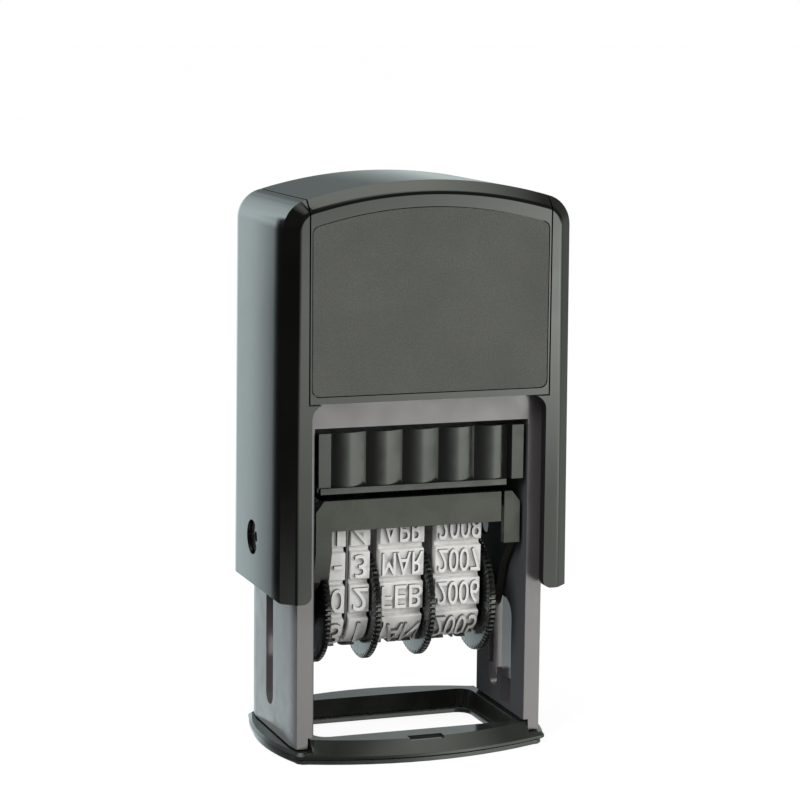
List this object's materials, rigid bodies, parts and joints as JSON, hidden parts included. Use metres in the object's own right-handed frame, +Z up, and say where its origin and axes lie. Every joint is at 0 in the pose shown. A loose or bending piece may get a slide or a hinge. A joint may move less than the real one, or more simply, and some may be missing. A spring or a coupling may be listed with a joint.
{
  "type": "self-inking date stamp",
  "caption": "Press-down self-inking date stamp: a glossy cap on a sprung frame, a date unit with thumb-wheel bands that turns over as the cap goes down, and a ribbed ink cartridge.",
  "frame": {"origin": "on the floor under the middle of the foot", "axes": "+Z up, -Y towards the user, who sees the bands and the front panel, +X to the user's right"},
  "size_m": [0.042, 0.0306, 0.0805],
  "materials": {
    "foot_plastic": "light grey satin plastic",
    "base_plastic": "dark grey gloss plastic",
    "frame_plastic": "warm grey satin plastic",
    "cartridge_plastic": "dark grey ribbed plastic",
    "ink_felt": "felt soaked with black ink",
    "cap_plastic": "polished black plastic",
    "panel_plastic": "fine-grained dark grey plastic",
    "carrier_plastic": "dark grey plastic",
    "wheel_plastic": "black plastic with a toothed rim",
    "band_rubber": "off-white type rubber",
    "text_rubber": "red-brown stamp rubber",
    "steel": "bright steel"
  },
  "bodies": {
    "frame": {"foot_rim": "foot_plastic", "base_ring": "base_plastic", "inner_frame": "frame_plastic", "pad_cartridge": "cartridge_plastic", "ink_pad": "ink_felt", "return_spring": "steel"},
    "cap": {"cap_shell": "cap_plastic", "cover_strip": "cap_plastic", "front_panel": "panel_plastic", "rear_panel": "panel_plastic"},
    "date_unit": {"type_carrier": "carrier_plastic", "carrier_end_plate": "carrier_plastic", "band_bridge": "carrier_plastic", "band_divider": "wheel_plastic", "text_block": "carrier_plastic", "text_plate": "text_rubber", "tens_band": "band_rubber", "units_band": "band_rubber", "month_band": "band_rubber", "year_band": "band_rubber", "wheel_shaft": "steel", "pivot_pin_left": "wheel_plastic", "pivot_pin_right": "wheel_plastic"},
    "tens_thumb_wheel": {"tens_wheel": "wheel_plastic"},
    "units_thumb_wheel": {"units_wheel": "wheel_plastic"},
    "month_thumb_wheel": {"month_wheel": "wheel_plastic"},
    "year_thumb_wheel": {"year_wheel": "wheel_plastic"}
  },
  "joints": [
    {"name": "cap_press", "type": "slide", "parent": "frame", "child": "cap", "axis": [0, 0, -1], "range_m": [0, 0.0195], "stiffness_N_per_m": 400, "springref_m": -0.012, "deforming": ["return_spring"]},
    {"name": "date_flip", "type": "hinge", "parent": "cap", "child": "date_unit", "pos_m": [0, 0.0014, 0.02975], "axis": [-1, 0, 0], "range_deg": [0, 180]},
    {"name": "tens_turn", "type": "hinge", "parent": "date_unit", "child": "tens_thumb_wheel", "pos_m": [-0.013, -0.001, 0.0203], "axis": [1, 0, 0], "continuous": true},
    {"name": "units_turn", "type": "hinge", "parent": "date_unit", "child": "units_thumb_wheel", "pos_m": [-0.0057, -0.001, 0.0203], "axis": [1, 0, 0], "continuous": true},
    {"name": "month_turn", "type": "hinge", "parent": "date_unit", "child": "month_thumb_wheel", "pos_m": [0.0023, -0.001, 0.0203], "axis": [1, 0, 0], "continuous": true},
    {"name": "year_turn", "type": "hinge", "parent": "date_unit", "child": "year_thumb_wheel", "pos_m": [0.0113, -0.001, 0.0203], "axis": [1, 0, 0], "continuous": true}
  ],
  "couplings": [
    {"joint": "date_flip", "follows": "cap_press", "rad_per_m": 161.11}
  ]
}
